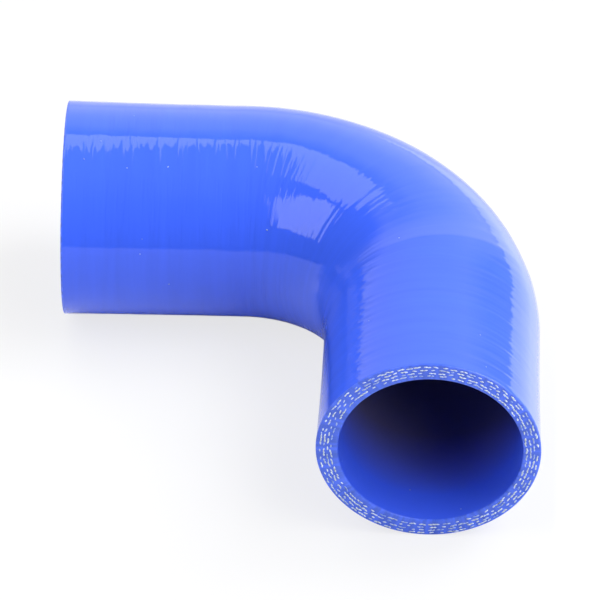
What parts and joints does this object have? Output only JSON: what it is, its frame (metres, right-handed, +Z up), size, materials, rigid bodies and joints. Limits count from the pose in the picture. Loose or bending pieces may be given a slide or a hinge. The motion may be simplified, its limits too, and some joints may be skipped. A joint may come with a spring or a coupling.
{
  "type": "silicone elbow hose",
  "caption": "Right-angle silicone rubber coolant hose with a smooth bend, fabric-reinforced wall and straight, square-cut legs.",
  "frame": {"origin": "on the ground under the middle of the hose's outline as it lies flat", "axes": "+Z up, square to the plane of the bend; leg A opens toward -X and leg B toward -Y"},
  "size_m": [0.1328, 0.1294, 0.0603],
  "materials": {
    "silicone": "glossy moulded silicone rubber, blue right through, with faint rings round it from the curing wrap",
    "yarn": "ends of the white reinforcing yarn in the cut faces, partly veiled by the blue rubber"
  },
  "bodies": {
    "root": {"elbow_hose": "silicone"}
  },
  "joints": []
}
